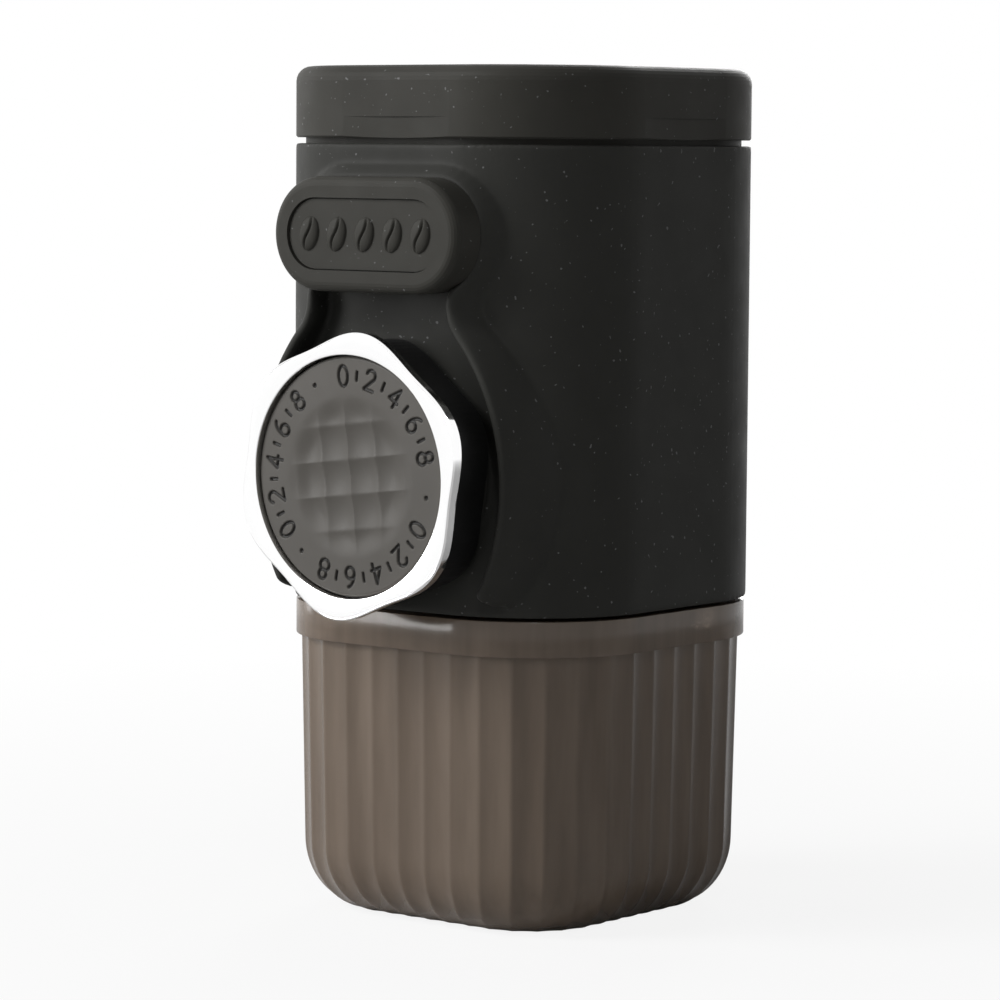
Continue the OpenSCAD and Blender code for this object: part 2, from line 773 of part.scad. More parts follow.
module outlet_valve() {
  color("white") translate([0, 0, valve_seat_z]) umbrella_valve(valve_r, valve_seat_z - deck_plate_z);
}

// ---------------------------------------------------------------- brewing head

module group_head() {
  collar_top = deck_top + head_collar_h;
  color([0.16, 0.16, 0.16]) difference() {
    union() {
      rounded_prism(plate_half, deck_plate_z, deck_top);
      translate([0, 0, deck_top - 0.5]) cylinder(h = platform_h + 0.5, r = basket_r + 0.6);
      translate([0, 0, deck_top - 0.5]) linear_extrude(head_collar_h + 0.5) ring_2d(head_r, head_in_r);
      translate([0, 0, head_ledge_z]) linear_extrude(collar_top - head_ledge_z)
        ring_2d(head_r - 1, bowl_r + turn_gap);
    }
    translate([0, 0, head_ledge_z - 1]) linear_extrude(head_collar_h)
      lugs_2d(head_in_r, bowl_r, notch_angle, unlock_turn);
    translate([0, 0, valve_seat_z]) cylinder(h = 3, r = basket_r - 3);
    translate([0, 0, valve_seat_z]) valve_holes(20);
    for (x = [-1, 1], y = [-1, 1]) translate([x * pillar_at, y * pillar_at, deck_top + 1]) {
      mirror([0, 0, 1]) cylinder(h = deck_plate_t + 2, r = screw_r + fit);
      mirror([0, 0, 1]) cylinder(h = 1 + 1.8, r = screw_head_r + fit);
    }
  }
}

// Holes in rings about the middle
module ring_holes(rings, pitch, r, h) {
  cylinder(h = h, r = r, center = true, $fn = 16);
  for (k = [1:rings], i = [0:6 * k - 1]) rotate(60 * i / k) translate([k * pitch, 0, 0])
    cylinder(h = h, r = r, center = true, $fn = 16);
}

module shower_screen() {
  color("silver") difference() {
    translate([0, 0, screen_z]) cylinder(h = sheet, r = basket_r + 0.4);
    translate([0, 0, screen_z]) ring_holes(3, 4, 0.8, 4);
  }
}

module group_gasket() {
  color([0.1, 0.1, 0.1]) translate([0, 0, gasket_z]) linear_extrude(gasket_t)
    ring_2d(basket_r + 0.6, basket_r - 2.4);
}

module filter_basket() {
  outer = basket_r + sheet;
  color("silver") difference() {
    rotate_extrude() polygon([[basket_r, rim_z], [rim_r - 0.2, rim_z], [rim_r - 0.2, rim_z + sheet],
                              [outer, rim_z + sheet], [outer, basket_end], [0, basket_end],
                              [0, basket_end - sheet], [basket_r, basket_end - sheet]]);
    translate([0, 0, basket_end]) ring_holes(3, 4.6, 0.8, 4);
  }
}

module portafilter() {
  funnel = [[bowl_r, bowl_z0], [bowl_r, bowl_z1 - 1], [bowl_r - 1, bowl_z1], [spout_r + 4, spout_z],
            [spout_r + 0.05, spout_z], [spout_r + 0.05, bowl_z1 + 2.5], [outlet_r, bowl_z1 + 2.5],
            [outlet_r, bowl_z1 + 1.6], [bowl_in_r - 2, basket_end + 0.9],
            [bowl_in_r - 2, basket_end], [bowl_in_r, basket_end], [bowl_in_r, rim_z + sheet],
            [rim_r, rim_z + sheet], [rim_r, bowl_z0]];
  color([0.12, 0.12, 0.12]) difference() {
    union() {
      rotate_extrude() polygon(funnel);
      translate([0, 0, bowl_z0]) linear_extrude(pf_lug_t) lugs_2d(pf_lug_r, bowl_r - 1, lug_angle, 0);
    }
    for (i = [0:17]) rotate(20 * i + 10)
      translate([bowl_r + 1.2, 0, deck_top + head_collar_h + 1]) cylinder(h = 30, r = 2, $fn = 24);
  }
}

module spout() {
  z0 = bowl_z1 + 2.5;
  z1 = spout_z + spout_l;
  color([0.1, 0.1, 0.1]) rotate_extrude()
    polygon([[outlet_r, z0], [spout_r, z0], [spout_r, spout_z], [spout_r + 1.2, spout_z],
             [spout_r + 1.2, spout_z + 1.2], [spout_r - 1, z1], [outlet_r + 1, z1], [outlet_r, z1 - 1.5]]);
}

// ---------------------------------------------------------------- plunger and knob

module plunger_rod() {
  color("silver") on_pump(0) difference() {
    union() {
      translate([0, 0, piston_back]) cylinder(h = rod_end - piston_back, r = rod_r);
      translate([0, 0, piston_back - 5]) cylinder(h = 6, r = rod_r - 1.5);
    }
    translate([0, 0, rod_end - 10]) cylinder(h = 11, r = knob_screw_r + fit);
  }
}

ring_wire = 0.9;
seal_at = [1.5 * ring_wire, piston_l - 3.5 * ring_wire];

module piston() {
  color([0.85, 0.85, 0.8]) on_pump(piston_t) difference() {
    cylinder(h = piston_l, r = bore_r - fit);
    for (z = seal_at) translate([0, 0, z]) linear_extrude(2 * ring_wire)
      ring_2d(bore_r + ring_wire, bore_r - 2.1 * ring_wire);
    translate([0, 0, piston_l - 5.2]) cylinder(h = 6, r = rod_r - 1.5 + fit);
  }
}

module piston_seals() {
  color("black") on_pump(piston_t) for (z = seal_at) translate([0, 0, z + ring_wire])
    rotate_extrude() translate([bore_r - fit - ring_wire, 0]) circle(ring_wire - 0.01, $fn = 24);
}

// Coil of round wire along local z
module coil(r, wire, z0, z1, turns) {
  sides = 8;
  per_turn = 16;
  n = turns * per_turn;
  points = [for (i = [0:n], k = [0:sides - 1])
              let (a = 360 * i / per_turn, b = 360 * k / sides, q = r + wire * cos(b))
              [q * cos(a), q * sin(a), z0 + wire + (z1 - z0 - 2 * wire) * i / n + wire * sin(b)]];
  walls = [for (i = [0:n - 1], k = [0:sides - 1], h = [0, 1])
             let (a = i * sides + k, b = i * sides + (k + 1) % sides)
             h == 0 ? [a, b, a + sides] : [b, b + sides, a + sides]];
  caps = [[for (k = [sides - 1:-1:0]) k], [for (k = [0:sides - 1]) n * sides + k]];
  polyhedron(points, concat(walls, caps), convexity = 10);
}

module return_spring() {
  r = (sleeve_r - sleeve_wall + hub_r) / 2;
  color("silver") on_pump(0) coil(r, wire_r, floor_t + flange_t + 0.05, web_t - 0.15, spring_turns);
}

module knob_screw() {
  color("silver") on_pump(rod_end) difference() {
    union() {
      translate([0, 0, -knob_screw_l]) cylinder(h = knob_screw_l + knob_head_gap + 0.1, r = knob_screw_r);
      translate([0, 0, knob_head_gap]) cylinder(h = knob_head_t, r = knob_head_r);
    }
    translate([0, 0, knob_head_gap + 1]) cylinder(h = 2 * knob_head_t, r = knob_hex_r, $fn = 6);
  }
}

// Six soft lobes about the bright ring's middle radius, less the given step
function lobed(step) = [for (i = [0:119]) let (a = 3 * i, r = ring_r + lobe * cos(6 * (a - lobe_turn)) - step)
                          [r * cos(a), r * sin(a)]];

module knob_body() {
  in_r = sleeve_r - sleeve_wall;
  sleeve_end = floor_t + 0.6;
  color([0.09, 0.09, 0.09]) on_pump(0) difference() {
    union() {
      translate([0, 0, sleeve_end]) cylinder(h = web_t + 1 - sleeve_end, r = sleeve_r);
      translate([0, 0, skirt_t]) linear_extrude(ring_back - skirt_t) polygon(lobed(skirt_step));
      translate([0, 0, sleeve_end + 0.6]) linear_extrude(lock_lug_t)
        lugs_2d(lock_lug_r, sleeve_r - 1, lug_angle, 0);
    }
    difference() {
      translate([0, 0, sleeve_end - 1]) cylinder(h = web_t - sleeve_end + 1, r = in_r);
      translate([0, 0, hub_t]) cylinder(h = 30, r = hub_r);
    }
    translate([0, 0, hub_t - 1]) cylinder(h = rod_end - hub_t + 1, r = rod_r + fit);
    translate([0, 0, rod_end - 1]) cylinder(h = 30, r = knob_screw_r + turn_gap);
    translate([0, 0, rod_end + knob_seat]) cylinder(h = 30, r = knob_head_r + turn_gap);
    translate([0, 0, dial_back]) cylinder(h = 10, r = dial_r + 0.2);
  }
}

module chrome_ring() {
  bevel = 0.4;
  color([0.93, 0.93, 0.94]) on_pump(ring_back) difference() {
    union() {
      linear_extrude(ring_t - bevel) polygon(lobed(0));
      linear_extrude(ring_t) polygon(lobed(bevel));
    }
    translate([0, 0, -1]) cylinder(h = ring_t + 2, r = dial_r + 0.2);
  }
}

module dial_plate() {
  color([0.4, 0.4, 0.39]) on_pump(dial_back) cylinder(h = dial_t, r = dial_r);
}

body_shell();
front_pad();
pad_inset();
cup();
cup_band();
water_tank();
tank_seal();
chassis();
case_screws();
pump_barrel();
rod_guide();
end_cap();
end_cap_seal();
inlet_manifold();
inlet_valve();
air_valve();
outlet_manifold();
outlet_valve();
group_head();
shower_screen();
group_gasket();
filter_basket();
portafilter();
spout();
plunger_rod();
piston();
piston_seals();
return_spring();
knob_screw();
knob_body();
chrome_ring();
dial_plate();
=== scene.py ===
"""Looks of the handheld espresso maker: materials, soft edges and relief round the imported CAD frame."""
import json
import math

import bpy
import numpy as np
from mathutils import Matrix, Vector
from mathutils.bvhtree import BVHTree


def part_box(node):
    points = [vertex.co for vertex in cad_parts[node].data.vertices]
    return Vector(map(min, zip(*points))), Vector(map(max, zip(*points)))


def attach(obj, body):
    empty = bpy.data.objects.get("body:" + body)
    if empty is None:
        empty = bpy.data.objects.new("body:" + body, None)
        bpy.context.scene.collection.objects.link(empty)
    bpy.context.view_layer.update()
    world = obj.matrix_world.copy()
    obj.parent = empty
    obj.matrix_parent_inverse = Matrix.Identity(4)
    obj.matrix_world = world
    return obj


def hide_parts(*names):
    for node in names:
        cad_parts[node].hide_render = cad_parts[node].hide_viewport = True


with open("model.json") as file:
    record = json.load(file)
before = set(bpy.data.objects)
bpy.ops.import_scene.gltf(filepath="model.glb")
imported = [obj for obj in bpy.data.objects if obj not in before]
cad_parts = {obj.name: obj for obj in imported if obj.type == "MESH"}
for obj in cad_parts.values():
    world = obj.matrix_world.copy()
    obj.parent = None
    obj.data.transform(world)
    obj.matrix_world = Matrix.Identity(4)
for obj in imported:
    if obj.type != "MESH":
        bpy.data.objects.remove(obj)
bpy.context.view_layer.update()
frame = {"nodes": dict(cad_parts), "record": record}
NODES = frame["nodes"]
MM = 0.001

# Places taken from the frame, in metres
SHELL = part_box("body_shell")
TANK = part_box("water_tank")
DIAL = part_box("dial_plate")
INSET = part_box("pad_inset")
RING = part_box("chrome_ring")
AXIS_Z = (DIAL[0].z + DIAL[1].z) / 2
HALF = SHELL[1].y
CORNER_R = 23.2 * MM
# How far out the centres of the plan's corner arcs lie
CORNER_C = HALF - CORNER_R

# Round the knob's axis the housing's soft copy lies under the CAD surface, so that the knob can run:
# by LUG_GAP out to LUG_ZONE, where the lock lug bears on its ledge, then by FACE_GAP to WELL_ZONE
LUG_ZONE = 18.4 * MM
LUG_GAP = 0.25 * MM
WELL_ZONE = 21 * MM
FACE_GAP = 0.06 * MM


# ---------------------------------------------------------------- materials

def new_material(name):
    """A node material with an empty Principled shader; returns (material, nodes, links, shader)."""
    mat = bpy.data.materials.new(name)
    mat.use_nodes = True
    tree = mat.node_tree
    return mat, tree.nodes, tree.links, tree.nodes["Principled BSDF"]


def noise(nodes, links, scale, detail=4.0, rough=0.6, stretch=(1, 1, 1)):
    """Noise in object space; scale is in waves per metre."""
    coord = nodes.new("ShaderNodeTexCoord")
    mapping = nodes.new("ShaderNodeMapping")
    mapping.inputs["Scale"].default_value = stretch
    tex = nodes.new("ShaderNodeTexNoise")
    tex.inputs["Scale"].default_value = scale
    tex.inputs["Detail"].default_value = detail
    tex.inputs["Roughness"].default_value = rough
    links.new(coord.outputs["Object"], mapping.inputs["Vector"])
    links.new(mapping.outputs["Vector"], tex.inputs["Vector"])
    return tex.outputs["Fac"]


def ramp(nodes, links, value, stops):
    """Colour ramp over a value; stops are (place, colour)."""
    node = nodes.new("ShaderNodeValToRGB")
    while len(node.color_ramp.elements) < len(stops):
        node.color_ramp.elements.new(0.5)
    for element, (place, colour) in zip(node.color_ramp.elements, stops):
        element.position = place
        element.color = (*colour, 1)
    links.new(value, node.inputs["Fac"])
    return node.outputs["Color"]


def spread(nodes, links, value, low, high, start=0.3, end=0.7):
    """The value, mapped from start..end to low..high."""
    node = nodes.new("ShaderNodeMapRange")
    node.inputs["From Min"].default_value = start
    node.inputs["From Max"].default_value = end
    node.inputs["To Min"].default_value = low
    node.inputs["To Max"].default_value = high
    links.new(value, node.inputs["Value"])
    return node.outputs["Result"]


def bump(nodes, links, shader, height, strength, distance):
    """Gives a shader a relief of the height's value; distance is in metres."""
    node = nodes.new("ShaderNodeBump")
    node.inputs["Strength"].default_value = strength
    node.inputs["Distance"].default_value = distance
    links.new(height, node.inputs["Height"])
    links.new(node.outputs["Normal"], shader.inputs["Normal"])


def mixed(nodes, links, factor, a, b):
    """Colour a turned to colour b by a factor; either may be a socket or a plain colour."""
    node = nodes.new("ShaderNodeMix")
    node.data_type = "RGBA"
    links.new(factor, node.inputs["Factor"])
    for socket, value in ((node.inputs[6], a), (node.inputs[7], b)):
        if isinstance(value, tuple):
            socket.default_value = (*value, 1)
        else:
            links.new(value, socket)
    return node.outputs[2]


def scaled(colour, k):
    """A colour made k times as light."""
    return tuple(k * c for c in colour)


def plastic(name, colour, rough, grain=2600, depth=0.02, vary=0.12, specular=0.5, specks=0.0, painted_groove_shade=None):
    """Moulded plastic with a fine grain, a slow change of tone and uneven gloss. specks is the
    lightness of sparse specks of dust; the last argument names a vertex attribute that paints shade into
    engraved grooves."""
    mat, nodes, links, shader = new_material(name)
    tone = noise(nodes, links, 45, 3)
    fine = noise(nodes, links, grain, 3, 0.7)
    look = ramp(nodes, links, tone, [(0.3, scaled(colour, 1 - vary)), (0.7, scaled(colour, 1 + vary))])
    if specks:
        dots = spread(nodes, links, noise(nodes, links, 1500, 0, 0.5), 0, 1, 0.8, 0.86)
        look = mixed(nodes, links, dots, look, (specks, specks, specks))
    # painted shade: engraved grooves are darkened towards black, to 0.12 of the colour
    if painted_groove_shade:
        attribute = nodes.new("ShaderNodeAttribute")
        attribute.attribute_name = painted_groove_shade
        look = mixed(nodes, links, attribute.outputs["Fac"], look, scaled(colour, 0.12))
    links.new(look, shader.inputs["Base Color"])
    links.new(spread(nodes, links, noise(nodes, links, 160, 4), rough - 0.05, rough + 0.05),
              shader.inputs["Roughness"])
    shader.inputs["Specular IOR Level"].default_value = specular
    bump(nodes, links, shader, fine, 0.5, depth * MM)
    return mat


def metal(name, colour, rough, stretch=(1, 1, 1), depth=0.004):
    """Metal with fine wear in its gloss."""
    mat, nodes, links, shader = new_material(name)
    shader.inputs["Base Color"].default_value = (*colour, 1)
    shader.inputs["Metallic"].default_value = 1
    fine = noise(nodes, links, 900, 4, 0.6, stretch)
    links.new(spread(nodes, links, fine, rough * 0.8, rough * 1.3), shader.inputs["Roughness"])
    bump(nodes, links, shader, fine, 0.3, depth * MM)
    return mat


def silicone(name, colour, rough):
    """Soft translucent silicone."""
    mat, nodes, links, shader = new_material(name)
    shader.inputs["Base Color"].default_value = (*colour, 1)
    shader.inputs["Transmission Weight"].default_value = 0.1
    fine = noise(nodes, links, 800, 3)
    links.new(spread(nodes, links, fine, rough - 0.05, rough + 0.08), shader.inputs["Roughness"])
    bump(nodes, links, shader, fine, 0.3, 0.01 * MM)
    return mat


def smoky(name):
    """Thick see-through plastic in a smoky brown."""
    mat, nodes, links, shader = new_material(name)
    streak = noise(nodes, links, 260, 3, 0.5, (1, 1, 0.12))
    links.new(ramp(nodes, links, streak, [(0.3, (0.175, 0.134, 0.102)), (0.7, (0.228, 0.177, 0.137))]),
              shader.inputs["Base Color"])
    shader.inputs["Transmission Weight"].default_value = 0.4
    shader.inputs["IOR"].default_value = 1.49
    shader.inputs["Specular IOR Level"].default_value = 0.18
    links.new(spread(nodes, links, noise(nodes, links, 300, 4), 0.15, 0.21), shader.inputs["Roughness"])
    bump(nodes, links, shader, noise(nodes, links, 700, 3, 0.5, (1, 1, 0.3)), 0.3, 0.01 * MM)
    return mat


# The vertex attribute that says how much of a point is engraving; the dial's material darkens the grooves
# by it as painted shade
ENGRAVING_SHADE_MASK = "engraved"
MATERIALS = {
    "housing_black": plastic("housing_black", (0.03, 0.03, 0.0275), 0.48, specular=0.06, specks=0.12),
    "pad_grey": plastic("pad_grey", (0.036, 0.035, 0.031), 0.48, specular=0.06, specks=0.12),
    "cup_black": plastic("cup_black", (0.036, 0.035, 0.031), 0.48, specular=0.06, specks=0.12),
    "black_rubber": plastic("black_rubber", (0.012, 0.012, 0.012), 0.7, 1500, specular=0.2),
    "inner_plastic": plastic("inner_plastic", (0.03, 0.029, 0.027), 0.45, specular=0.3),
    "barrel_plastic": plastic("barrel_plastic", (0.5, 0.5, 0.47), 0.35),
    "portafilter_black": plastic("portafilter_black", (0.014, 0.014, 0.014), 0.35, specular=0.3),
    "knob_black": plastic("knob_black", (0.01, 0.01, 0.01), 0.4, specular=0.2),
    # the dial's engraved grooves get painted shade from the engraving attribute
    "dial_grey": plastic("dial_grey", (0.069, 0.064, 0.057), 0.45, 1800, 0.012, 0.05, 0.2,
                         painted_groove_shade=ENGRAVING_SHADE_MASK),
    "silicone": silicone("silicone", (0.75, 0.75, 0.72), 0.4),
    "smoky_plastic": smoky("smoky_plastic"),
    "steel": metal("steel", (0.62, 0.61, 0.59), 0.2, (1, 1, 6)),
    "chrome": metal("chrome", (0.98, 0.98, 0.98), 0.05),
}


def dress(obj, name):
    """Gives an object one of the materials, and no other."""
    obj.data.materials.clear()
    obj.data.materials.append(MATERIALS[name])


for part in frame["record"]["subparts"]:
    dress(NODES[part["node"]], part["material_slot"])


# ---------------------------------------------------------------- pieces

def add_piece(name, points, faces, finish, body, smooth_angle=35, replaced=()):
    """A new piece from points in metres: dressed, riding on a body, standing for CAD nodes."""
    mesh = bpy.data.meshes.new(name)
    mesh.from_pydata([tuple(p) for p in points], [], faces)
    mesh.update()
    obj = bpy.data.objects.new(name, mesh)
    bpy.context.scene.collection.objects.link(obj)
    mesh.shade_smooth()
    mesh.set_sharp_from_angle(angle=math.radians(smooth_angle))
    dress(obj, finish)
    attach(obj, body)
    if replaced:
        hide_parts(*replaced)
    return obj


def loft_faces(rings, count, closed=False):
    """Quads between rings of count points, in ring order; closed joins the last to the first."""
    last = rings if closed else rings - 1
    faces = []
    for j in range(last):
        k = (j + 1) % rings
        for i in range(count):
            n = (i + 1) % count
            faces.append((j * count + i, j * count + n, k * count + n, k * count + i))
    return faces


def softened(name, node, voxel, rounds, finish, body, bore):
    """A copy of a CAD node with its edges and joins rounded: remeshed, then smoothed. Within the
    radius bore of the knob's axis it is held under the CAD surface, because the knob runs there."""
    obj = bpy.data.objects.new(name, NODES[node].data.copy())
    bpy.context.scene.collection.objects.link(obj)
    remesh = obj.modifiers.new("remesh", "REMESH")
    remesh.mode = "VOXEL"
    remesh.voxel_size = voxel * MM
    smooth = obj.modifiers.new("smooth", "SMOOTH")
    smooth.factor = 0.5
    smooth.iterations = rounds
    bpy.context.view_layer.update()
    depsgraph = bpy.context.evaluated_depsgraph_get()
    mesh = bpy.data.meshes.new_from_object(obj.evaluated_get(depsgraph))
    obj.modifiers.clear()
    obj.data = mesh
    exact = NODES[node].data
    surface = BVHTree.FromPolygons([v.co for v in exact.vertices], [p.vertices for p in exact.polygons])
    for point in mesh.vertices:
        radius = math.hypot(point.co.x, point.co.z - AXIS_Z)
        if point.co.y < 0 and radius < bore:
            place, normal = surface.find_nearest(point.co)[:2]
            point.co = place - (LUG_GAP if radius < LUG_ZONE else FACE_GAP) * normal
    mesh.shade_smooth()
    dress(obj, finish)
    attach(obj, body)
    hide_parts(node)


# ---------------------------------------------------------------- water tank

FLUTES = 40
FLUTE_STEPS = 12
FLUTE_DEPTH = 0.45 * MM
COLLAR_H = 6.1 * MM
COLLAR_HALF = TANK[1].x
FLUTE_HALF = COLLAR_HALF - 0.95 * MM
TAPER = 0.7 * MM
FOOT_W = 10.8 * MM
FOOT_H = 12.4 * MM
CAVITY_HALF = COLLAR_HALF - 3.88 * MM
TANK_FLOOR = 2.6 * MM
MOUTH_R = 28.8 * MM
DECK_Z = TANK[1].z - 4 * MM
# Rounding of the collar's edges, and where its middle point lies
EDGE = 0.15 * MM
EDGE_STEP = 0.3 * EDGE
# How much smaller than the outside the rounding at the bottom of the cavity is
IN_W_LESS, IN_H_LESS = 1.5 * MM, 2 * MM
# Innermost ring of a flat, as a share of the flat
INNER_RING = 0.5
FOOT_STEPS, CAVITY_STEPS = 17, 9


def on_square(q, half, dip):
    """Points a share q of the turn along the rounded square, less a dip under its surface."""
    r = half - CORNER_C
    quarter = 2 * CORNER_C + math.pi / 2 * r
    way = 4 * q * quarter + CORNER_C
    side = np.floor(way / quarter)
    s = way - side * quarter
    a = np.maximum(0, s - 2 * CORNER_C) / r
    x = np.minimum(s, 2 * CORNER_C) - CORNER_C + (r - dip) * np.sin(a)
    y = -CORNER_C - (r - dip) * np.cos(a)
    turn = side * math.pi / 2
    return np.stack([x * np.cos(turn) - y * np.sin(turn), x * np.sin(turn) + y * np.cos(turn)], 1)


def add_tank():
    """The tank as one loft: up its fluted outside, over the collar and down its inside."""
    count = FLUTES * FLUTE_STEPS
    q = np.arange(count) / count
    f = (np.arange(count) % FLUTE_STEPS) / FLUTE_STEPS
    dip = FLUTE_DEPTH * 4 * f * (1 - f)
    flat = np.zeros(count)
    top = TANK[1].z
    rings = []

    def ring(half, z, hollow=flat):
        rings.append(np.column_stack([on_square(q, half, hollow), np.full(count, z)]))

    def mouth(r, z):
        way = on_square(q, FLUTE_HALF, flat)
        a = np.arctan2(way[:, 1], way[:, 0])
        rings.append(np.column_stack([r * np.cos(a), r * np.sin(a), np.full(count, z)]))

    foot_half = FLUTE_HALF - TAPER - FOOT_W
    ring(foot_half * INNER_RING, 0)
    for a in np.radians(np.linspace(90, 0, FOOT_STEPS)):
        ring(foot_half + FOOT_W * math.cos(a), FOOT_H * (1 - math.sin(a)), dip)
    low = top - COLLAR_H
    ring(FLUTE_HALF, low, dip)
    for half, z in ((COLLAR_HALF - EDGE, low), (COLLAR_HALF - EDGE_STEP, low + EDGE_STEP),
                    (COLLAR_HALF, low + EDGE), (COLLAR_HALF, top - EDGE),
                    (COLLAR_HALF - EDGE_STEP, top - EDGE_STEP), (COLLAR_HALF - EDGE, top)):
        ring(half, z)
    mouth(MOUTH_R, top)
    mouth(MOUTH_R, DECK_Z)
    ring(CAVITY_HALF, DECK_Z)
    in_w, in_h = FOOT_W - IN_W_LESS, FOOT_H - IN_H_LESS
    for a in np.radians(np.linspace(0, 90, CAVITY_STEPS)):
        ring(CAVITY_HALF - in_w * (1 - math.cos(a)), TANK_FLOOR + in_h * (1 - math.sin(a)))
    ring((CAVITY_HALF - in_w) * INNER_RING, TANK_FLOOR)
    points = np.concatenate(rings)
    faces = loft_faces(len(rings), count)
    faces.append(tuple(range(count - 1, -1, -1)))
    last = (len(rings) - 1) * count
    faces.append(tuple(range(last, last + count)))
    add_piece("tank_fluted", points, faces, "smoky_plastic", "tank", 40, ["water_tank"])


# ---------------------------------------------------------------- dial and ring

DIAL_R = DIAL[1].x
DIAL_FACE = DIAL[0].y
DIAL_BACK = DIAL[1].y
DIMPLE = 5.9 * MM
DIMPLE_DEPTH = 0.6 * MM
DIMPLE_TURN = math.radians(7.2)
FADE_START, FADE_END = 9 * MM, 14 * MM
BAND_R = 16.9 * MM
MARK_W, MARK_H = 2.1 * MM, 3.4 * MM
MARK_LINE = 0.3 * MM
MARK_DEPTH = 0.35 * MM
# Where an engraved line's wall begins and ends, from the line's middle
WALL_START, WALL_END = 0.55 * MARK_LINE, 1.15 * MARK_LINE
# How far from a line's middle its distance is worked out
MARK_REACH = 2 * MM
# The dots between the scales and the step between marks, in degrees
DOTS = (117.6, -8.8, -129.0)
MARK_TURN = 10.2
DOT_R = 0.12 * MM
EDGE_ROUND = 0.6 * MM
# The dial's rings of points (first and last radius in mm, how many): dimples, engraved band, edge
DIAL_SPANS = ((0.3, 14.6, 44), (14.75, 19.1, 36), (19.3, DIAL_R / MM, 8))
DIAL_TURNS = 900


def arc(cx, cy, rx, ry, start, end, steps=10):
    """Points on an ellipse, in the mark's own box from -1 to 1."""
    a = np.radians(np.linspace(start, end, steps))
    return [(cx + rx * math.cos(t), cy + ry * math.sin(t)) for t in a]


# Plain figures and a tick, as lines in a box from -1 to 1
FIGURES = {
    "0": [arc(0, 0, 0.95, 1, 90, 450, 17)],
    "2": [arc(0, 0.45, 0.9, 0.55, 165, -30, 9) + [(-0.95, -1), (0.95, -1)]],
    "4": [[(0.45, -1), (0.45, 1), (-0.95, -0.4), (0.95, -0.4)]],
    "6": [arc(0.6, -0.4, 1.5, 1.4, 100, 178, 8), arc(0, -0.42, 0.9, 0.58, 90, 450, 15)],
    "8": [arc(0, 0.5, 0.75, 0.5, 90, 450, 13), arc(0, -0.45, 0.95, 0.55, 90, 450, 15)],
    "|": [[(0, -0.35), (0, 0.45)]],
}
SCALE_MARKS = "0|2|4|6|8"


def mark_lines():
    """All engraved lines of the dial as segments (x0, y0, x1, y1), in metres."""
    lines = []
    for first, second in zip(DOTS, (*DOTS[1:], DOTS[0] - 360)):
        middle = (first + second) / 2
        for i, mark in enumerate(SCALE_MARKS):
            a = math.radians(middle + MARK_TURN * ((len(SCALE_MARKS) - 1) / 2 - i))
            out = np.array([math.cos(a), math.sin(a)])
            along = np.array([out[1], -out[0]])
            for line in FIGURES[mark]:
                way = [out * (BAND_R + y * MARK_H / 2) + along * x * MARK_W / 2 for x, y in line]
                lines += [(*p, *n) for p, n in zip(way, way[1:])]
    return lines


def line_distance(x, y, lines):
    """Distance of each point from the nearest of the lines, or 1 m where none is near."""
    best = np.full(x.shape, 1.0)
    for x0, y0, x1, y1 in lines:
        near = (np.abs(x - (x0 + x1) / 2) < MARK_REACH) & (np.abs(y - (y0 + y1) / 2) < MARK_REACH)
        px, py = x[near], y[near]
        dx, dy = x1 - x0, y1 - y0
        t = np.clip(((px - x0) * dx + (py - y0) * dy) / (dx * dx + dy * dy), 0, 1)
        best[near] = np.minimum(best[near], np.hypot(px - x0 - t * dx, py - y0 - t * dy))
    return best


def smoothstep(x, low, high):
    """A smooth rise from 0 at low to 1 at high."""
    t = np.clip((x - low) / (high - low), 0, 1)
    return t * t * (3 - 2 * t)


def dial_relief(x, y):
    """(depth under the dial's face, share of engraving) at points of the dial."""
    r = np.hypot(x, y)
    u = x * math.cos(DIMPLE_TURN) + y * math.sin(DIMPLE_TURN)
    v = y * math.cos(DIMPLE_TURN) - x * math.sin(DIMPLE_TURN)
    du = (u / DIMPLE) % 1 - 0.5
    dv = (v / DIMPLE + 0.5) % 1 - 0.5
    depth = DIMPLE_DEPTH * (1 - 2 * (du * du + dv * dv)) * (1 - smoothstep(r, FADE_START, FADE_END))
    away = line_distance(x, y, mark_lines())
    for a in np.radians(DOTS):
        from_dot = np.hypot(x - BAND_R * math.cos(a), y - BAND_R * math.sin(a))
        away = np.minimum(away, from_dot - DOT_R)
    share = 1 - smoothstep(away, WALL_START, WALL_END)
    edge = np.clip(r - (DIAL_R - EDGE_ROUND), 0, EDGE_ROUND)
    rounding = EDGE_ROUND - np.sqrt(np.maximum(EDGE_ROUND ** 2 - edge ** 2, 0))
    return depth + MARK_DEPTH * share + rounding, share


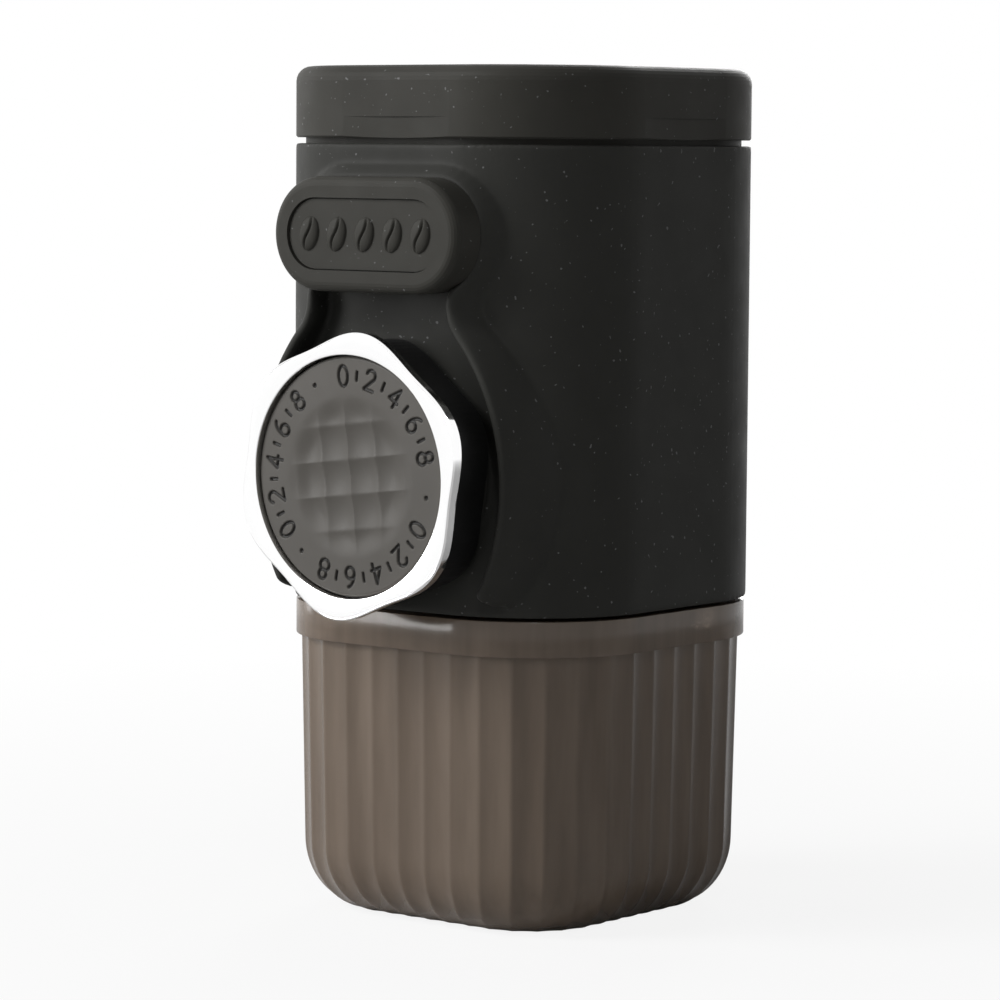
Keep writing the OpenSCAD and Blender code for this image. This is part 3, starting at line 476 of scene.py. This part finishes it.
def add_dial():
    """The dial's face as rings of points, fine where it is engraved, and its edge and back."""
    turns = DIAL_TURNS
    radii = np.concatenate([np.linspace(*span) for span in DIAL_SPANS]) * MM
    a = np.linspace(0, 2 * math.pi, turns, endpoint=False)
    x = np.outer(radii, np.cos(a)).ravel()
    y = np.outer(radii, np.sin(a)).ravel()
    depth, share = dial_relief(x, y)
    face = np.column_stack([x, DIAL_FACE + depth, AXIS_Z + y])
    back = np.column_stack([DIAL_R * np.cos(a), np.full(turns, DIAL_BACK), AXIS_Z + DIAL_R * np.sin(a)])
    middle = dial_relief(np.zeros(1), np.zeros(1))[0][0]
    points = np.concatenate([face, back, [[0, DIAL_FACE + middle, AXIS_Z], [0, DIAL_BACK, AXIS_Z]]])
    faces = loft_faces(len(radii) + 1, turns)
    centre, rear, last = len(points) - 2, len(points) - 1, len(radii) * turns
    faces += [(i, (i + 1) % turns, centre) for i in range(turns)]
    faces += [(last + (i + 1) % turns, last + i, rear) for i in range(turns)]
    dial = add_piece("dial_face", points, faces, "dial_grey", "knob", 50, ["dial_plate"])
    # The engraving share, kept as the mask for the painted shade in the grooves
    attribute = dial.data.attributes.new(ENGRAVING_SHADE_MASK, "FLOAT", "POINT")
    attribute.data.foreach_set("value", np.concatenate([share, np.zeros(turns + 2)]).astype(np.float32))


RING_R = 23.5 * MM
LOBES = 6
LOBE = 0.9 * MM
LOBE_TURN = math.radians(21.5)
RING_BORE = DIAL_R + 0.2 * MM
RING_TURNS = 360
BEVEL = 0.25 * MM
GROOVE = 0.16 * MM
# Rounding of the bore's front edge
LIP = 0.2 * MM


def add_ring():
    """The bright ring: a bevelled section swept round its six lobes."""
    turns = RING_TURNS
    a = np.linspace(0, 2 * math.pi, turns, endpoint=False)
    outer = RING_R + LOBE * np.cos(LOBES * (a - LOBE_TURN))
    front, back = RING[0].y, RING[1].y
    bore = np.full(turns, RING_BORE)
    bends = np.radians(np.linspace(0, 90, 5))
    inner = [(bore + LIP * (1 - math.sin(b)), front + LIP * (1 - math.cos(b))) for b in bends]
    land = outer - BEVEL - GROOVE
    section = [(outer, back), (outer, front + BEVEL), (outer - BEVEL, front),
               (land + GROOVE / 2, front + GROOVE), (land, front), *inner, (bore, back)]
    rings = [np.column_stack([r * np.cos(a), np.full(turns, y), AXIS_Z + r * np.sin(a)])
             for r, y in section]
    faces = loft_faces(len(rings), turns, closed=True)
    add_piece("ring_bright", np.concatenate(rings), faces, "chrome", "knob", 20, ["chrome_ring"])


# ---------------------------------------------------------------- pad inset

BEANS = 5
BEAN_PITCH = 6.1 * MM
BEAN_W, BEAN_H = 2.05 * MM, 3 * MM
BEAN_OUT = 0.8 * MM
# How far a bean's rim stands back in the panel
BEAN_SINK = 0.05 * MM
BEAN_TILT = math.radians(14)
BEAN_ROWS, BEAN_TURNS = 24, 64
# The seam's sideways swing and half width in half beans, and its depth as a share of the rise
SEAM_SWING, SEAM_HALF, SEAM_DEPTH = 0.16, 0.1, 0.55


def add_beans():
    """A row of plain raised coffee beans on the pad's inset panel."""
    face = INSET[0].y
    middle = (INSET[0].z + INSET[1].z) / 2
    points, faces = [], []
    rows, turns = BEAN_ROWS, BEAN_TURNS
    for n in range(BEANS):
        cx = (n - (BEANS - 1) / 2) * BEAN_PITCH
        start = len(points)
        for i in range(rows + 1):
            share = i / rows
            for k in range(turns):
                t = 2 * math.pi * k / turns
                u, v = share * math.cos(t), share * math.sin(t)
                rise = math.sqrt(max(0, 1 - share ** 3))
                seam = abs(u - SEAM_SWING * math.sin(math.pi * v))
                rise -= SEAM_DEPTH * math.exp(-(seam / SEAM_HALF) ** 2) * rise
                x, z = u * BEAN_W, v * BEAN_H
                points.append((cx + x * math.cos(BEAN_TILT) + z * math.sin(BEAN_TILT),
                               face + BEAN_SINK - BEAN_OUT * rise,
                               middle - x * math.sin(BEAN_TILT) + z * math.cos(BEAN_TILT)))
        faces += [tuple(start + c for c in f) for f in loft_faces(rows + 1, turns)]
    add_piece("pad_beans", points, faces, "pad_grey", "housing", 60)


add_tank()
add_dial()
add_ring()
add_beans()
softened("housing_soft", "body_shell", 0.4, 6, "housing_black", "housing", WELL_ZONE)


# ---------------------------------------------------------------- camera, light and floor

# The camera was fitted to the outlines in the photograph
CAMERA_AWAY = 714.65 * MM
CAMERA_Z = 134.30 * MM
CAMERA_TURN = math.radians(38.467)
CAMERA_YAW = math.radians(-0.303)
CAMERA_PITCH = math.radians(5.01)
CAMERA_ROLL = math.radians(0.429)
SENSOR = 36.0
FOCAL_PIXELS = 4068.13
IMAGE_PIXELS = 1000

# What the lamps face, and the light and floor in the studio; distances in metres
AIM = Vector((0, 0, 0.07))
WORLD_LIGHT = 0.07
FLOOR_HALF = 8
FLOOR_TONE = 0.62
# The floor is seen as this share of white by the object, and as all white past the end of the fade
NEAR_SHARE = 0.88
FLOOR_FADE = (0.06, 0.35)
MIRROR_FADE = (0.3, 0.7)


def turned(a, b, angle):
    """a turned towards b, and b away from a."""
    return a * math.cos(angle) + b * math.sin(angle), b * math.cos(angle) - a * math.sin(angle)


def add_camera():
    """The camera of the photograph."""
    data = bpy.data.cameras.new("camera")
    data.sensor_width = SENSOR
    data.lens = FOCAL_PIXELS * SENSOR / IMAGE_PIXELS
    data.clip_start = 0.01
    data.clip_end = 20
    forward = Vector((-math.sin(CAMERA_TURN), math.cos(CAMERA_TURN), 0))
    right = Vector((math.cos(CAMERA_TURN), math.sin(CAMERA_TURN), 0))
    up = Vector((0, 0, 1))
    forward, right = turned(forward, right, CAMERA_YAW)
    up, forward = turned(up, forward, CAMERA_PITCH)
    right, up = turned(right, up, CAMERA_ROLL)
    cam = bpy.data.objects.new("camera", data)
    cam.matrix_world = Matrix((right, up, -forward)).transposed().to_4x4()
    cam.location = (CAMERA_AWAY * math.sin(CAMERA_TURN), -CAMERA_AWAY * math.cos(CAMERA_TURN), CAMERA_Z)
    bpy.context.scene.collection.objects.link(cam)
    bpy.context.scene.camera = cam


def add_lamp(name, place, width, height, power):
    """A soft rectangular lamp that faces the middle of the object."""
    data = bpy.data.lights.new(name, "AREA")
    data.shape = "RECTANGLE"
    data.size = width
    data.size_y = height
    data.energy = power
    lamp = bpy.data.objects.new(name, data)
    lamp.location = place
    lamp.rotation_euler = (AIM - Vector(place)).to_track_quat("-Z", "Y").to_euler()
    bpy.context.scene.collection.objects.link(lamp)


def calculated(nodes, links, operation, a, b):
    """The outcome of a sum on two values."""
    node = nodes.new("ShaderNodeMath")
    node.operation = operation
    links.new(a, node.inputs[0])
    links.new(b, node.inputs[1])
    return node.outputs[0]


def seen_as_white(nodes, links, to_camera=None, to_gloss=None):
    """1 where a camera, glossy or transmission ray looks, else 0; or the given shares of 1."""
    path = nodes.new("ShaderNodeLightPath").outputs
    camera = path["Is Camera Ray"]
    gloss = calculated(nodes, links, "MAXIMUM", path["Is Glossy Ray"], path["Is Transmission Ray"])
    if to_camera:
        camera = calculated(nodes, links, "MULTIPLY", camera, to_camera)
        gloss = calculated(nodes, links, "MULTIPLY", gloss, to_gloss)
    return calculated(nodes, links, "MAXIMUM", camera, gloss)


def add_world():
    """A faint light from all round, which a camera or a mirror sees as white."""
    world = bpy.data.worlds.new("studio")
    bpy.context.scene.world = world
    world.use_nodes = True
    nodes, links = world.node_tree.nodes, world.node_tree.links
    light = nodes["Background"]
    light.inputs["Color"].default_value = (1, 1, 1, 1)
    light.inputs["Strength"].default_value = WORLD_LIGHT
    white = nodes.new("ShaderNodeBackground")
    white.inputs["Color"].default_value = (1, 1, 1, 1)
    white.inputs["Strength"].default_value = 1
    mix = nodes.new("ShaderNodeMixShader")
    links.new(seen_as_white(nodes, links), mix.inputs["Fac"])
    links.new(light.outputs[0], mix.inputs[1])
    links.new(white.outputs[0], mix.inputs[2])
    links.new(mix.outputs[0], nodes["World Output"].inputs["Surface"])


def add_floor():
    """A pale floor that keeps the object's shadow and turns white further out."""
    mesh = bpy.data.meshes.new("floor")
    r = FLOOR_HALF
    mesh.from_pydata([(-r, -r, 0), (r, -r, 0), (r, r, 0), (-r, r, 0)], [], [(0, 1, 2, 3)])
    floor = bpy.data.objects.new("floor", mesh)
    bpy.context.scene.collection.objects.link(floor)
    mat, nodes, links, shader = new_material("floor_white")
    shader.inputs["Base Color"].default_value = (FLOOR_TONE, FLOOR_TONE, FLOOR_TONE, 1)
    shader.inputs["Roughness"].default_value = 0.9
    shader.inputs["Specular IOR Level"].default_value = 0
    white = nodes.new("ShaderNodeEmission")
    white.inputs["Color"].default_value = (1, 1, 1, 1)
    white.inputs["Strength"].default_value = 1
    coord = nodes.new("ShaderNodeTexCoord")
    length = nodes.new("ShaderNodeVectorMath")
    length.operation = "LENGTH"
    links.new(coord.outputs["Object"], length.inputs[0])
    away = length.outputs["Value"]
    share = seen_as_white(nodes, links, spread(nodes, links, away, NEAR_SHARE, 1, *FLOOR_FADE),
                          spread(nodes, links, away, 0, 1, *MIRROR_FADE))
    mix = nodes.new("ShaderNodeMixShader")
    links.new(share, mix.inputs["Fac"])
    links.new(shader.outputs[0], mix.inputs[1])
    links.new(white.outputs[0], mix.inputs[2])
    links.new(mix.outputs[0], nodes["Material Output"].inputs["Surface"])
    mesh.materials.append(mat)


add_camera()
add_world()
add_floor()
add_lamp("key", (-0.98, -1.04, 0.55), 0.5, 1.1, 18)
add_lamp("side", (-1.3, -0.1, 0.5), 0.25, 1, 3)
add_lamp("top", (-0.5, -0.9, 1.0), 0.45, 0.45, 8)
add_lamp("back", (-0.6, 1.2, 0.6), 0.5, 0.9, 9)
add_lamp("strip", (0.85, -0.95, 0.9), 0.1, 0.6, 2.8)
bpy.context.scene.view_settings.view_transform = "Standard"
